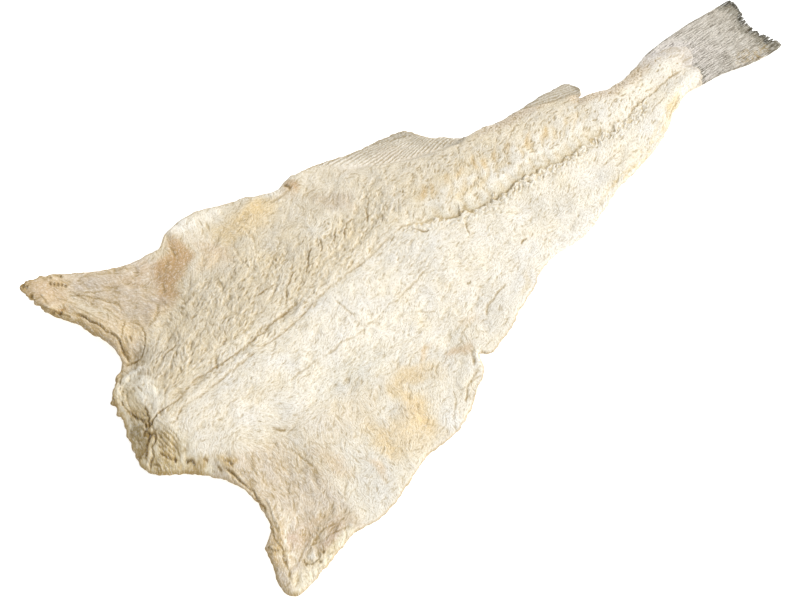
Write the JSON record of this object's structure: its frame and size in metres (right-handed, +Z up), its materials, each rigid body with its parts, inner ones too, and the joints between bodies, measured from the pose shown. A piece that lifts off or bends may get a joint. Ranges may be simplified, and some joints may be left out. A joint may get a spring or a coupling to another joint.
{
  "type": "salted dried cod",
  "caption": "Whole split cod, salted and dried, lying flat on its skin with the pale flesh side up, with fins and tail.",
  "frame": {"origin": "on the underside, on the line from the neck cut to the middle of the tail fin, half way along the fish", "axes": "+X from the neck cut to the tail, +Y to the side that carries the two anal fins, +Z up out of the flesh side"},
  "size_m": [0.7158, 0.3682, 0.027],
  "materials": {
    "dried_flesh": "dry matt cream flesh with a leathery, fibrous surface and fine salt"
  },
  "bodies": {
    "root": {"dried_cod": "dried_flesh"}
  },
  "joints": []
}
